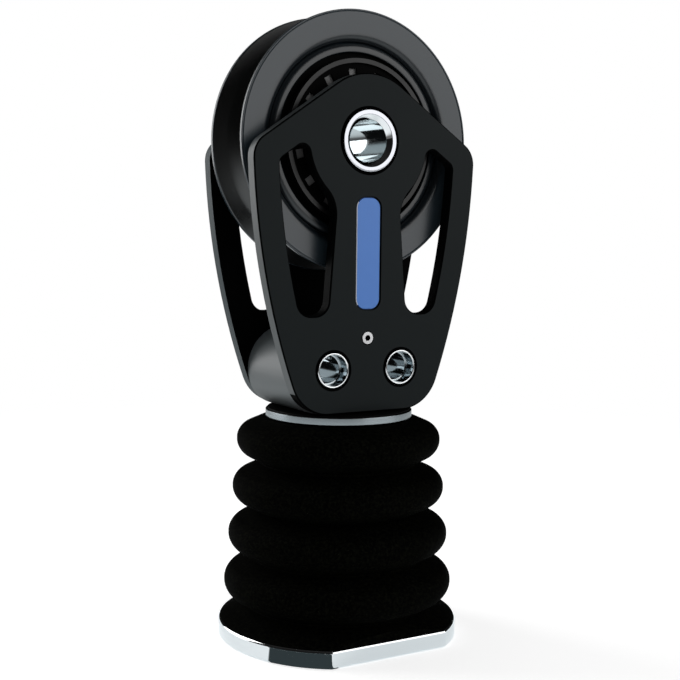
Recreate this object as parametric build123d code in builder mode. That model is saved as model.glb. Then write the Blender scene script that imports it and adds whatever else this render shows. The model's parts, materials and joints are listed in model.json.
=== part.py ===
from build123d import *
from math import cos, radians, sin, tan
import os

os.makedirs("parts", exist_ok=True)

# Sizes are in millimetres. Z runs up the block from the deck, and Y runs along the sheave's axle,
# with the front cheek on the -Y side. The origin is the middle of the foot, on the deck.

# Base: a round foot with two flats, four deck screws and two lugs for the lower pin
base_radius = 28.7
base_half_flat = 24.3
base_thickness = 4.2
base_corner_round = 0.8
base_top_round = 0.7
base_bottom_chamfer = 0.4
screw_circle_radius = 16.5
screw_count = 4
screw_hole_radius = 3.2
screw_head_radius = 5.8
boot_ring_wall = 0.7
boot_ring_height = 1.2
boot_ring_gap = 0.3

# Toggle: two pins at right angles, one above the other
pin_radius = 2.5
pin_running_gap = 0.05
eye_radius = 5.6
eye_foot_gap = 3.0
pin_spacing = 19.0
link_width = 9.0
link_side_gap = 0.1
link_edge_round = 1.2
lug_thickness = 4.0
lug_round = 6.0
ear_thickness = 3.2
bridge_gap = 1.0
clip_thickness = 0.6
clip_wall = 1.7
clip_depth = 0.5
clip_opening = 3.0
pin_end_length = 0.6

# Boot: bellows of rubber, each bulge a little wider than the one above
bulge_count = 4
bulge_pitch = 11.37
bulge_growth = 1.0
top_bulge_radius = 24.34
bulge_depth = 6.0
bulge_half_face = 2.6
bulge_round = 3.8
boot_wall = 1.6
boot_lip_radius = 18.3
boot_lip_rise = 5.2
boot_foot_rise = 9.04
boot_neck_gap = 0.3

# Stem: neck through the boot, spigot through the head, thread for the nut
neck_radius = 6.5
flange_radius = 11.0
flange_thickness = 1.6
spigot_shoulder_radius = 5.0
spigot_radius = 3.4
thread_radius = 3.0
thread_end = 0.7
collar_gap = 0.3
collar_radius = 17.52
collar_thickness = 1.65
collar_edge_chamfer = 0.25
washer_radius = 17.1
washer_thickness = 0.4
head_running_gap = 0.1

# Head: block, bush, nut and rivets
axle_rise = 62.3
head_block_top = 19.3
head_block_half = 19.4
head_block_corner = 10.5
head_block_foot = 8.6
cheek_gap_half = 9.9
bush_wall = 0.75
bush_running_gap = 0.05
nut_radius = 5.2
nut_height = 2.8
nut_washer_thickness = 0.6
nut_pocket_gap = 0.5
nut_slot_width = 3.4
nut_slot_depth = 0.9
nut_slot_count = 4
rivet_offset = 9.05
rivet_rise = 10.2
rivet_radius = 4.05
rivet_bore = 3.2
rivet_mouth_radius = 3.62
rivet_mouth_depth = 3.0
rivet_proud = 0.12
rivet_rim_chamfer = 0.12
rivet_sink_radius = 4.75
lock_screw_nut_drop = 1.95
lock_screw_radius = 1.4
lock_screw_hole_gap = 0.25
lock_screw_socket = 1.3
lock_screw_socket_depth = 1.6
lock_screw_gap = 0.3
lock_screw_proud = 0.05

# Cheeks: outline about the axle
cheek_thickness = 2.96
cheek_foot_rise = 0.1
crown_radius = 15.15
crown_slope = 34.1
shoulder_half = 29.5
shoulder_round = 5.5
foot_half = 16.9
foot_round = 10.0
side_bow = 2.8
cheek_edge_chamfer = 0.3
window_border = 6.3
window_eye_radius = 15.75
window_sill = 3.35
web_half_top = 7.35
web_half_bottom = 10.55
window_tip_round = 1.9
window_eye_round = 8.0
window_foot_round = 3.6
label_half_width = 3.45
label_top_drop = 12.5
label_length = 26.15
label_corner = 2.7
label_pocket_depth = 0.45
label_thickness = 0.3
label_gap = 0.3

# Axle: hollow tube
axle_radius = 7.02
axle_bore = 4.9
axle_mouth_radius = 5.95
axle_mouth_depth = 1.05
axle_proud = 0.3
axle_sink_radius = 7.8
press_gap = 0.02

# Sheave and its bearing
sheave_radius = 30.0
sheave_half_width = 7.96
rim_thickness = 1.0
rim_round = 0.45
rope_groove_depth = 6.6
land_dish = 0.3
dish_foot_gap = 0.8
dish_width = 2.4
dish_depth = 1.9
side_ring_wall = 1.35
side_groove_width = 1.55
side_ring_half = 7.1
side_groove_half = 5.9
lip_wall = 1.0
roller_count = 15
roller_radius = 2.17
roller_gap = 0.03
hub_radius = 13.4
roller_half_length = 7.2
cage_plate_gap = 0.1
cage_plate_thickness = 0.6
cage_rim_half = 8.6
cage_rim_wall = 1.0
cage_outer_radius = 18.9
cage_hub_gap = 0.2
cage_window = 2.1
cage_post_radius = 0.75

# Levels up the block
lower_pin_z = base_thickness + eye_foot_gap + eye_radius
upper_pin_z = lower_pin_z + pin_spacing
lowest_bulge_z = base_thickness + boot_foot_rise
top_bulge_z = lowest_bulge_z + (bulge_count - 1) * bulge_pitch
boot_top = top_bulge_z + boot_lip_rise
collar_bottom = boot_top + collar_gap
collar_top = collar_bottom + collar_thickness
washer_top = collar_top + washer_thickness
head_bottom = washer_top + head_running_gap
head_top = head_bottom + head_block_top
axle_z = head_bottom + axle_rise
rivet_z = head_bottom + rivet_rise

# Sizes that follow from the ones above
cheek_outer = cheek_gap_half + cheek_thickness
cheek_drop = axle_rise - cheek_foot_rise
window_bottom_drop = axle_rise - head_block_top - window_sill
boot_ring_inner = screw_circle_radius + screw_head_radius + boot_ring_gap
boot_ring_outer = boot_ring_inner + boot_ring_wall
boot_foot_inner = boot_ring_outer + press_gap
boot_foot_height = boot_foot_rise - bulge_pitch / 2
boot_foot_radius = top_bulge_radius + bulge_count * bulge_growth
boot_foot_z = lowest_bulge_z - bulge_pitch
boot_recess_z = base_thickness + boot_ring_height + boot_ring_gap
boot_neck = neck_radius + boot_neck_gap
lug_inner = link_width / 2 + link_side_gap
lug_outer = lug_inner + lug_thickness
ear_outer = lug_inner + ear_thickness
clip_inner = pin_radius - clip_depth
clip_outer = clip_inner + clip_wall
bush_bore = spigot_radius + bush_running_gap
bush_outer = bush_bore + bush_wall
nut_pocket_radius = nut_radius + nut_pocket_gap
nut_washer_top = head_top - nut_height - head_running_gap
nut_pocket_floor = nut_washer_top - nut_washer_thickness
nut_bottom = nut_washer_top + head_running_gap
nut_top = nut_bottom + nut_height
lock_screw_z = nut_top - lock_screw_nut_drop
race_radius = hub_radius + 2 * (roller_radius + roller_gap)
roller_pitch_radius = hub_radius + roller_radius + roller_gap
cage_plate_inner = roller_half_length + cage_plate_gap
cage_plate_outer = cage_plate_inner + cage_plate_thickness
lip_radius = race_radius + lip_wall
side_ring_inner = lip_radius + side_groove_width
side_ring_outer = side_ring_inner + side_ring_wall
dish_radius = side_ring_outer + dish_foot_gap
land_inner_radius = dish_radius + dish_width
groove_half = sheave_half_width - rim_thickness
rope_floor_radius = sheave_radius - rope_groove_depth

axle_axis = Axis((0, 0, axle_z), (0, 1, 0))
meridian = Plane(origin=(0, 0, axle_z), x_dir=(0, 1, 0), z_dir=(1, 0, 0))


# A plane square to the axle, this far in front of the block's middle, with its centre on the axle
def axle_plane(distance):
    return Plane(origin=(0, -distance, axle_z), x_dir=(1, 0, 0), z_dir=(0, -1, 0))


# The cheek's outline with sharp corners: round crown, sloping shoulders, bowed sides, straight foot
def cheek_outline(plane):
    tangent_x = crown_radius * sin(radians(crown_slope))
    tangent_z = crown_radius * cos(radians(crown_slope))
    shoulder_z = tangent_z - (shoulder_half - tangent_x) * tan(radians(crown_slope))
    with BuildSketch(plane) as outline:
        with BuildLine():
            crown = CenterArc((0, 0), crown_radius, 90 - crown_slope, 2 * crown_slope)
            right_slope = Line(crown @ 0, (shoulder_half, shoulder_z))
            right_side = SagittaArc(right_slope @ 1, (foot_half, -cheek_drop), side_bow)
            foot = Line(right_side @ 1, (-foot_half, -cheek_drop))
            left_side = SagittaArc(foot @ 1, (-shoulder_half, shoulder_z), side_bow)
            Line(left_side @ 1, crown @ 1)
        make_face()
    return outline


# The finished outline, with its shoulders and the corners of its foot rounded
def cheek_face(plane):
    with BuildSketch(plane) as face:
        add(cheek_outline(Plane.XY).sketch)
        fillet(face.vertices().group_by(Axis.Y)[1], shoulder_round)
        fillet(face.vertices().group_by(Axis.Y)[0], foot_round)
    return face


# The two windows: what is left inside the border, outside the eye and beside the middle web
def cheek_windows(plane):
    with BuildSketch(plane) as windows:
        add(cheek_outline(Plane.XY).sketch)
        offset(amount=-window_border, kind=Kind.INTERSECTION)
        Circle(window_eye_radius, mode=Mode.SUBTRACT)
        with BuildLine(mode=Mode.PRIVATE) as web:
            Polyline(
                (-web_half_top, 0),
                (web_half_top, 0),
                (web_half_bottom, -window_bottom_drop),
                (web_half_bottom, -cheek_drop),
                (-web_half_bottom, -cheek_drop),
                (-web_half_bottom, -window_bottom_drop),
                close=True,
            )
        make_face(web.line.edges(), mode=Mode.SUBTRACT)
        with Locations((0, -window_bottom_drop)):
            Rectangle(2 * shoulder_half, cheek_drop, align=(Align.CENTER, Align.MAX), mode=Mode.SUBTRACT)
        levels = windows.vertices().group_by(Axis.Y)
        foot_width = levels[0].sort_by(Axis.X)[-1].X - levels[0].sort_by(Axis.X)[-2].X
        for corners, radius in (
            (levels[0], min(window_foot_round, 0.49 * foot_width)),
            (levels[1], window_eye_round),
            (levels[2] + levels[3], window_tip_round),
        ):
            places = [corner.center() for corner in corners]
            fillet([vertex for vertex in windows.vertices() if vertex.center() in places], radius)
    return windows


with BuildPart() as base_plate:
    with BuildSketch() as base_outline:
        Circle(base_radius)
        Rectangle(2 * base_radius, 2 * base_half_flat, mode=Mode.INTERSECT)
        fillet(base_outline.vertices(), base_corner_round)
    extrude(amount=base_thickness)
    fillet(base_plate.faces().sort_by(Axis.Z)[-1].edges(), base_top_round)
    chamfer(base_plate.faces().sort_by(Axis.Z)[0].edges(), base_bottom_chamfer)
    with BuildSketch(Plane.XY.offset(base_thickness)):
        Circle(boot_ring_outer)
        Circle(boot_ring_inner, mode=Mode.SUBTRACT)
    extrude(amount=boot_ring_height)
    with BuildSketch(Plane.YZ.offset(-lug_outer)):
        with Locations((0, lower_pin_z)):
            Circle(lug_round)
        with Locations((0, base_thickness / 2)):
            Rectangle(2 * lug_round, lower_pin_z - base_thickness / 2, align=(Align.CENTER, Align.MIN))
    extrude(amount=lug_thickness)
    mirror(about=Plane.YZ)
    with BuildSketch(Plane.YZ.offset(-lug_outer)):
        with Locations((0, lower_pin_z)):
            Circle(pin_radius + press_gap)
    extrude(amount=2 * lug_outer, mode=Mode.SUBTRACT)
    with Locations(Plane.XY.offset(base_thickness)):
        with PolarLocations(screw_circle_radius, screw_count, start_angle=180 / screw_count):
            CounterSinkHole(screw_hole_radius, screw_head_radius)
base_plate.part.label = "base_plate"
export_step(base_plate.part, "parts/base_plate.step")


# A pin square to the given plane at the given height, grooved near both ends for its clips
def cross_pin(plane, height, outer):
    groove = outer + link_side_gap
    tip = groove + clip_thickness + pin_end_length
    with BuildPart() as pin:
        with BuildSketch(plane.offset(-tip)):
            with Locations((0, height)):
                Circle(pin_radius)
        extrude(amount=2 * tip)
        chamfer(pin.edges().filter_by(GeomType.CIRCLE), pin_end_length / 2)
        for start in (-groove - clip_thickness, groove):
            with BuildSketch(plane.offset(start)):
                with Locations((0, height)):
                    Circle(2 * pin_radius)
                    Circle(clip_inner, mode=Mode.SUBTRACT)
            extrude(amount=clip_thickness, mode=Mode.SUBTRACT)
    return pin


# The two open clips that sit in a pin's grooves
def pin_clips(plane, height, outer):
    groove = outer + link_side_gap
    with BuildPart() as clips:
        for start in (-groove - clip_thickness, groove):
            with BuildSketch(plane.offset(start)):
                with Locations((0, height)):
                    Circle(clip_outer)
                    Circle(clip_inner + press_gap, mode=Mode.SUBTRACT)
                    Rectangle(clip_opening, clip_outer, align=(Align.CENTER, Align.MAX), mode=Mode.SUBTRACT)
            extrude(amount=clip_thickness)
    return clips


lower_pin = cross_pin(Plane.YZ, lower_pin_z, lug_outer)
lower_pin.part.label = "lower_pin"
export_step(lower_pin.part, "parts/lower_pin.step")

lower_pin_clips = pin_clips(Plane.YZ, lower_pin_z, lug_outer)
lower_pin_clips.part.label = "lower_pin_clips"
export_step(lower_pin_clips.part, "parts/lower_pin_clips.step")

upper_pin = cross_pin(Plane.XZ, upper_pin_z, ear_outer)
upper_pin.part.label = "upper_pin"
export_step(upper_pin.part, "parts/upper_pin.step")

upper_pin_clips = pin_clips(Plane.XZ, upper_pin_z, ear_outer)
upper_pin_clips.part.label = "upper_pin_clips"
export_step(upper_pin_clips.part, "parts/upper_pin_clips.step")


# Toggle link: an eye across X at its foot and an eye across Y at its head
with BuildPart() as toggle_link:
    with BuildSketch(Plane.XY.offset(lower_pin_z)):
        RectangleRounded(link_width, link_width, link_edge_round)
    extrude(amount=pin_spacing)
    for plane, height in ((Plane.YZ, lower_pin_z), (Plane.XZ, upper_pin_z)):
        with BuildSketch(plane.offset(-link_width / 2)):
            with Locations((0, height)):
                Circle(eye_radius)
        extrude(amount=link_width)
    for plane, height in ((Plane.YZ, lower_pin_z), (Plane.XZ, upper_pin_z)):
        with BuildSketch(plane.offset(-link_width)):
            with Locations((0, height)):
                Circle(pin_radius + pin_running_gap)
        extrude(amount=2 * link_width, mode=Mode.SUBTRACT)
toggle_link.part.label = "toggle_link"
export_step(toggle_link.part, "parts/toggle_link.step")


# Stem: turned from the fork's bridge to the thread, with two ears below for the upper pin
bridge_z = upper_pin_z + eye_radius + bridge_gap
flange_top = boot_top - boot_wall - boot_neck_gap
with BuildPart() as stem:
    with BuildSketch(Plane.XZ):
        with BuildLine():
            Polyline(
                (0, bridge_z),
                (neck_radius, bridge_z),
                (neck_radius, flange_top - flange_thickness),
                (flange_radius, flange_top - flange_thickness),
                (flange_radius, flange_top),
                (neck_radius, flange_top),
                (neck_radius, collar_bottom),
                (spigot_shoulder_radius, collar_bottom),
                (spigot_shoulder_radius, washer_top),
                (spigot_radius, washer_top),
                (spigot_radius, nut_washer_top),
                (thread_radius, nut_washer_top),
                (thread_radius, nut_top + thread_end),
                (0, nut_top + thread_end),
                close=True,
            )
        make_face()
    revolve(axis=Axis.Z)
    with BuildSketch(Plane.XY.offset(bridge_z)):
        Rectangle(2 * lug_round, 2 * ear_outer)
    extrude(amount=ear_thickness)
    with BuildSketch(Plane.XZ.offset(lug_inner)):
        with Locations((0, upper_pin_z)):
            Circle(lug_round)
            Rectangle(2 * lug_round, bridge_z - upper_pin_z, align=(Align.CENTER, Align.MIN))
    extrude(amount=ear_thickness)
    mirror(about=Plane.XZ)
    with BuildSketch(Plane.XZ.offset(-2 * ear_outer)):
        with Locations((0, upper_pin_z)):
            Circle(pin_radius + press_gap)
    extrude(amount=4 * ear_outer, mode=Mode.SUBTRACT)
    chamfer(stem.edges().filter_by(GeomType.CIRCLE).sort_by(Axis.Z)[-1], thread_end / 2)
stem.part.label = "stem"
export_step(stem.part, "parts/stem.step")

with BuildPart() as collar_plate:
    with BuildSketch(Plane.XY.offset(collar_bottom)):
        Circle(collar_radius)
        Circle(spigot_shoulder_radius + press_gap, mode=Mode.SUBTRACT)
    extrude(amount=collar_thickness)
    collar_rim = collar_plate.faces().filter_by(GeomType.CYLINDER).sort_by(SortBy.AREA)[-1]
    chamfer(collar_rim.edges(), collar_edge_chamfer)
collar_plate.part.label = "collar_plate"
export_step(collar_plate.part, "parts/collar_plate.step")

with BuildPart() as thrust_washer:
    with BuildSketch(Plane.XY.offset(collar_top)):
        Circle(washer_radius)
        Circle(spigot_shoulder_radius + press_gap, mode=Mode.SUBTRACT)
    extrude(amount=washer_thickness)
thrust_washer.part.label = "thrust_washer"
export_step(thrust_washer.part, "parts/thrust_washer.step")

# Slotted round nut: the lock screw drops into one of its slots to stop the swivel
with BuildPart() as stem_nut:
    with BuildSketch(Plane.XY.offset(nut_bottom)):
        Circle(nut_radius)
        Circle(thread_radius + press_gap, mode=Mode.SUBTRACT)
        with PolarLocations(nut_radius, nut_slot_count):
            Rectangle(2 * nut_slot_depth, nut_slot_width, mode=Mode.SUBTRACT)
    extrude(amount=nut_height)
stem_nut.part.label = "stem_nut"
export_step(stem_nut.part, "parts/stem_nut.step")


# The bellows' section, right of the stem, with the rounding of each corner. Outside, each bulge has
# two round corners and meets the next in a sharp valley; inside, the wall runs in plain cones.
# The foot is the upper half of one more bulge, hollowed to fit over the base's ring.
def boot_section():
    outside = [((boot_lip_radius, boot_top), 0)]
    inside = [((boot_lip_radius - boot_wall, boot_top - boot_wall), 0)]
    for index in range(bulge_count):
        bulge_z = top_bulge_z - index * bulge_pitch
        bulge_radius = top_bulge_radius + index * bulge_growth
        valley_radius = bulge_radius - bulge_depth
        outside.append(((bulge_radius, bulge_z + bulge_half_face), bulge_round))
        outside.append(((bulge_radius, bulge_z - bulge_half_face), bulge_round))
        outside.append(((valley_radius, bulge_z - bulge_pitch / 2), 0))
        inside.append(((bulge_radius - boot_wall, bulge_z), 0))
        inside.append(((valley_radius - boot_wall, bulge_z - bulge_pitch / 2), 0))
    outside.append(((boot_foot_radius, boot_foot_z + bulge_half_face), bulge_round))
    outside.append(((boot_foot_radius, boot_foot_z - bulge_half_face), 0))
    foot = [
        ((boot_foot_inner, boot_foot_z - bulge_half_face), 0),
        ((boot_foot_inner, boot_recess_z), 0),
        ((valley_radius - boot_wall, boot_recess_z), 0),
    ]
    neck = [((boot_neck, boot_top - boot_wall), 0), ((boot_neck, boot_top), 0)]
    return outside + foot + inside[::-1] + neck


with BuildPart() as boot:
    corners = boot_section()
    with BuildSketch(Plane.XZ):
        with BuildLine():
            bends = [bend for _, bend in corners]
            FilletPolyline(*[point for point, _ in corners], radius=bends, close=True)
        make_face()
        with Locations((0, -base_thickness)):
            Rectangle(4 * base_radius, 4 * base_thickness, mode=Mode.SUBTRACT)
    revolve(axis=Axis.Z)
    with BuildSketch(Plane.XY.offset(base_thickness)):
        Rectangle(4 * base_radius, 4 * base_radius)
        Rectangle(2 * base_radius, 2 * base_half_flat, mode=Mode.SUBTRACT)
    extrude(amount=boot_foot_height, mode=Mode.SUBTRACT)
boot.part.label = "boot"
export_step(boot.part, "parts/boot.step")


# Head block: fills the space between the feet of the cheeks and carries the stem's bush
with BuildPart() as head_block:
    with BuildSketch(Plane.XZ.offset(cheek_gap_half)) as block_outline:
        with Locations((0, head_bottom)):
            Rectangle(2 * head_block_half, head_block_top, align=(Align.CENTER, Align.MIN))
        fillet(block_outline.vertices().group_by(Axis.Y)[-1], head_block_corner)
        fillet(block_outline.vertices().group_by(Axis.Y)[0], head_block_foot)
    extrude(amount=-2 * cheek_gap_half)
    with BuildSketch(Plane.XY.offset(head_bottom)):
        Circle(bush_outer + press_gap)
    extrude(amount=head_block_top, mode=Mode.SUBTRACT)
    with BuildSketch(Plane.XY.offset(nut_pocket_floor)):
        Circle(nut_pocket_radius)
    extrude(amount=head_block_top, mode=Mode.SUBTRACT)
    with BuildSketch(Plane.XZ.offset(cheek_gap_half)):
        with Locations((-rivet_offset, rivet_z), (rivet_offset, rivet_z)):
            Circle(rivet_radius + press_gap)
    extrude(amount=-2 * cheek_gap_half, mode=Mode.SUBTRACT)
    with BuildSketch(Plane.XZ.offset(cheek_gap_half)):
        with Locations((0, lock_screw_z)):
            Circle(lock_screw_radius + press_gap)
    extrude(amount=-cheek_gap_half, mode=Mode.SUBTRACT)
head_block.part.label = "head_block"
export_step(head_block.part, "parts/head_block.step")

with BuildPart() as stem_bush:
    with BuildSketch(Plane.XY.offset(head_bottom)):
        Circle(bush_outer)
        Circle(bush_bore, mode=Mode.SUBTRACT)
    extrude(amount=nut_pocket_floor - head_bottom)
stem_bush.part.label = "stem_bush"
export_step(stem_bush.part, "parts/stem_bush.step")

with BuildPart() as nut_washer:
    with BuildSketch(Plane.XY.offset(nut_pocket_floor)):
        Circle(nut_radius)
        Circle(bush_bore, mode=Mode.SUBTRACT)
    extrude(amount=nut_washer_thickness)
nut_washer.part.label = "nut_washer"
export_step(nut_washer.part, "parts/nut_washer.step")


# A cheek between two planes square to the axle, its outer face on the given side of the block
def cheek_plate(side):
    outer_plane = axle_plane(side * cheek_outer)
    rivet_places = [(-rivet_offset, rivet_z - axle_z), (rivet_offset, rivet_z - axle_z)]
    with BuildPart() as plate:
        with BuildSketch(outer_plane):
            add(cheek_face(Plane.XY).sketch)
            add(cheek_windows(Plane.XY).sketch, mode=Mode.SUBTRACT)
        extrude(amount=-side * cheek_thickness)
        chamfer(plate.faces().sort_by(Axis.Y)[-1 if side < 0 else 0].edges(), cheek_edge_chamfer)
        for radius, sink_radius, places in (
            (axle_radius + press_gap, axle_sink_radius, [(0, 0)]),
            (rivet_radius + press_gap, rivet_sink_radius, rivet_places),
        ):
            with BuildSketch(outer_plane):
                with Locations(*places):
                    Circle(sink_radius)
            extrude(amount=-side * (sink_radius - radius), taper=45, mode=Mode.SUBTRACT)
            with BuildSketch(outer_plane):
                with Locations(*places):
                    Circle(radius)
            extrude(amount=-side * cheek_thickness, mode=Mode.SUBTRACT)
    return plate


front_cheek_plate = cheek_plate(1)
with BuildPart() as front_cheek:
    add(front_cheek_plate.part)
    with BuildSketch(axle_plane(cheek_outer)):
        with Locations((0, lock_screw_z - axle_z)):
            Circle(lock_screw_radius + lock_screw_hole_gap)
    extrude(amount=-cheek_thickness, mode=Mode.SUBTRACT)
    with BuildSketch(axle_plane(cheek_outer)):
        with Locations((0, -label_top_drop - label_length / 2)):
            RectangleRounded(2 * label_half_width, label_length, label_corner)
    extrude(amount=-label_pocket_depth, mode=Mode.SUBTRACT)
front_cheek.part.label = "front_cheek"
export_step(front_cheek.part, "parts/front_cheek.step")

rear_cheek = cheek_plate(-1)
rear_cheek.part.label = "rear_cheek"
export_step(rear_cheek.part, "parts/rear_cheek.step")

with BuildPart() as front_label:
    with BuildSketch(axle_plane(cheek_outer - label_pocket_depth)):
        with Locations((0, -label_top_drop - label_length / 2)):
            RectangleRounded(2 * label_half_width, label_length, label_corner)
        offset(amount=-label_gap)
    extrude(amount=label_thickness)
front_label.part.label = "front_label"
export_step(front_label.part, "parts/front_label.step")

# Lock screw: runs in the cheek and the head block and stops just short of the nut's slots
with BuildPart() as lock_screw:
    with BuildSketch(Plane.XZ.offset(nut_radius + lock_screw_gap)):
        with Locations((0, lock_screw_z)):
            Circle(lock_screw_radius)
    extrude(amount=cheek_outer + lock_screw_proud - nut_radius - lock_screw_gap)
    with BuildSketch(Plane.XZ.offset(cheek_outer + lock_screw_proud)):
        with Locations((0, lock_screw_z)):
            RegularPolygon(lock_screw_socket / 2, 6, major_radius=False)
    extrude(amount=-lock_screw_socket_depth, mode=Mode.SUBTRACT)
lock_screw.part.label = "lock_screw"
export_step(lock_screw.part, "parts/lock_screw.step")

# Hollow axle with a flared mouth at each end
with BuildPart() as axle_tube:
    with BuildSketch(meridian):
        with BuildLine():
            axle_end = cheek_outer + axle_proud
            Polyline(
                (0, axle_bore),
                (axle_end - axle_mouth_depth, axle_bore),
                (axle_end, axle_mouth_radius),
                (axle_end, axle_radius),
                (-axle_end, axle_radius),
                (-axle_end, axle_mouth_radius),
                (axle_mouth_depth - axle_end, axle_bore),
                close=True,
            )
        make_face()
    revolve(axis=axle_axis)
axle_tube.part.label = "axle_tube"
export_step(axle_tube.part, "parts/axle_tube.step")

# Two hollow rivets, each with a wider mouth at both ends
with BuildPart() as head_rivets:
    rivet_end = cheek_outer + rivet_proud
    with BuildSketch(Plane.XZ.offset(-rivet_end)):
        with Locations((-rivet_offset, rivet_z), (rivet_offset, rivet_z)):
            Circle(rivet_radius)
    extrude(amount=2 * rivet_end)
    chamfer(head_rivets.edges().filter_by(GeomType.CIRCLE), rivet_rim_chamfer)
    with BuildSketch(Plane.XZ.offset(-rivet_end)):
        with Locations((-rivet_offset, rivet_z), (rivet_offset, rivet_z)):
            Circle(rivet_bore)
    extrude(amount=2 * rivet_end, mode=Mode.SUBTRACT)
    for start in (rivet_end - rivet_mouth_depth, -rivet_end):
        with BuildSketch(Plane.XZ.offset(start)):
            with Locations((-rivet_offset, rivet_z), (rivet_offset, rivet_z)):
                Circle(rivet_mouth_radius)
        extrude(amount=rivet_mouth_depth, mode=Mode.SUBTRACT)
head_rivets.part.label = "head_rivets"
export_step(head_rivets.part, "parts/head_rivets.step")

# Bearing hub: the inner race, clamped between the cheeks round the axle
with BuildPart() as bearing_hub:
    with BuildSketch(axle_plane(cheek_gap_half)):
        Circle(hub_radius)
        Circle(axle_radius + press_gap, mode=Mode.SUBTRACT)
    extrude(amount=-2 * cheek_gap_half)
bearing_hub.part.label = "bearing_hub"
export_step(bearing_hub.part, "parts/bearing_hub.step")


# The sheave's section: half of it, from the middle of the rope groove to the race, then mirrored
with BuildPart() as sheave:
    with BuildSketch(meridian):
        with BuildLine():
            rim_corner = (groove_half, sheave_radius)
            ThreePointArc((-groove_half, sheave_radius), (0, rope_floor_radius), rim_corner)
            rim = Polyline(
                rim_corner,
                (sheave_half_width, sheave_radius),
                (sheave_half_width, sheave_radius - rim_round),
                (sheave_half_width - land_dish, land_inner_radius),
            )
            dish = TangentArc(rim @ 1, (sheave_half_width - dish_depth, dish_radius), tangent=(0, -1))
            Polyline(
                dish @ 1,
                (side_ring_half, side_ring_outer),
                (side_ring_half, side_ring_inner),
                (side_groove_half, side_ring_inner),
                (side_groove_half, lip_radius),
                (side_ring_half, lip_radius),
                (side_ring_half, race_radius),
                (0, race_radius),
            )
            split(bisect_by=Plane.YZ)
            mirror(about=Plane.YZ)
        make_face()
    revolve(axis=axle_axis)
sheave.part.label = "sheave"
export_step(sheave.part, "parts/sheave.step")

with BuildPart() as rollers:
    with BuildSketch(axle_plane(roller_half_length)):
        with PolarLocations(roller_pitch_radius, roller_count):
            Circle(roller_radius)
    extrude(amount=-2 * roller_half_length)
rollers.part.label = "rollers"
export_step(rollers.part, "parts/rollers.step")


# A cage plate with a raised rim and a window over the end of each roller
def cage_plate(side):
    with BuildPart() as plate:
        with BuildSketch(axle_plane(side * cage_plate_inner)):
            Circle(cage_outer_radius)
            Circle(hub_radius + cage_hub_gap, mode=Mode.SUBTRACT)
            with PolarLocations(roller_pitch_radius, roller_count):
                Rectangle(cage_window, cage_window, mode=Mode.SUBTRACT)
        extrude(amount=side * cage_plate_thickness)
        with BuildSketch(axle_plane(side * cage_plate_outer)):
            Circle(cage_outer_radius)
            Circle(cage_outer_radius - cage_rim_wall, mode=Mode.SUBTRACT)
        extrude(amount=side * (cage_rim_half - cage_plate_outer))
    return plate


cage_front_plate = cage_plate(1)
cage_front_plate.part.label = "cage_front_plate"
export_step(cage_front_plate.part, "parts/cage_front_plate.step")

cage_rear_plate = cage_plate(-1)
with BuildPart() as roller_cage:
    add(cage_rear_plate.part)
    with BuildSketch(axle_plane(cage_plate_inner)):
        with PolarLocations(roller_pitch_radius, roller_count, start_angle=180 / roller_count):
            Circle(cage_post_radius)
    extrude(amount=-2 * cage_plate_inner)
roller_cage.part.label = "roller_cage"
export_step(roller_cage.part, "parts/roller_cage.step")
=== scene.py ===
# Stand-up block: studio, finishes and visible pieces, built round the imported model
import json
from math import asin, cos, pi, radians, sin

import bmesh
import bpy
import numpy as np
from mathutils import Matrix, Vector


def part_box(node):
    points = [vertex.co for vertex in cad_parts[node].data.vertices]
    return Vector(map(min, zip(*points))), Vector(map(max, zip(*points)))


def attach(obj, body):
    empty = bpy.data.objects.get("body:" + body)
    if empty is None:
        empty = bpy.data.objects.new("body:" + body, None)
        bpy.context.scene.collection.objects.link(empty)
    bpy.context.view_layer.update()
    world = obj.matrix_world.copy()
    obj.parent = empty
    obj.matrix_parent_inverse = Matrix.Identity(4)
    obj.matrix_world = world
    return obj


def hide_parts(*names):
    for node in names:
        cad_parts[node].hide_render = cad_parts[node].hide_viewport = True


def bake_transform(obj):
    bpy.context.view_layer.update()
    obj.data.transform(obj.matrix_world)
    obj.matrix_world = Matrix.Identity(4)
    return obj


mm = 0.001
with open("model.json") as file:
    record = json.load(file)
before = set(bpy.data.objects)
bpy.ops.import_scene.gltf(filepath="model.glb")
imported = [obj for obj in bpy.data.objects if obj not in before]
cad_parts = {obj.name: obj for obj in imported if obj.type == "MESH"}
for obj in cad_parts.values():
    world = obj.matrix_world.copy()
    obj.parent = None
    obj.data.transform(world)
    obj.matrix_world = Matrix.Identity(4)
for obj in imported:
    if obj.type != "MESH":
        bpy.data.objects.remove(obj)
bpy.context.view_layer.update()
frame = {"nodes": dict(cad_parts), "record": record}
print("frame loaded:", len(frame["nodes"]), "nodes")


# Camera: where the photograph was taken from
view = {
    "place": Vector((-150.34, -253.90, 97.44)) * mm,
    "turn": 30.667,       # degrees from the axle's line, towards +X
    "dip": 5.157,         # degrees below level
    "roll": 0.569,
    "lens": 65.55,
    "sensor": 36.0,
    "clipStart": 0.01,
}


def makeCamera():
    data = bpy.data.cameras.new("camera")
    data.lens = view["lens"]
    data.sensor_width = view["sensor"]
    data.clip_start = view["clipStart"]
    camera = bpy.data.objects.new("camera", data)
    turn = Matrix.Rotation(radians(-view["turn"]), 4, "Z")
    dip = Matrix.Rotation(radians(90 - view["dip"]), 4, "X")
    roll = Matrix.Rotation(radians(view["roll"]), 4, "Z")
    camera.matrix_world = Matrix.Translation(view["place"]) @ turn @ dip @ roll
    bpy.context.scene.collection.objects.link(camera)
    bpy.context.scene.camera = camera


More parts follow.
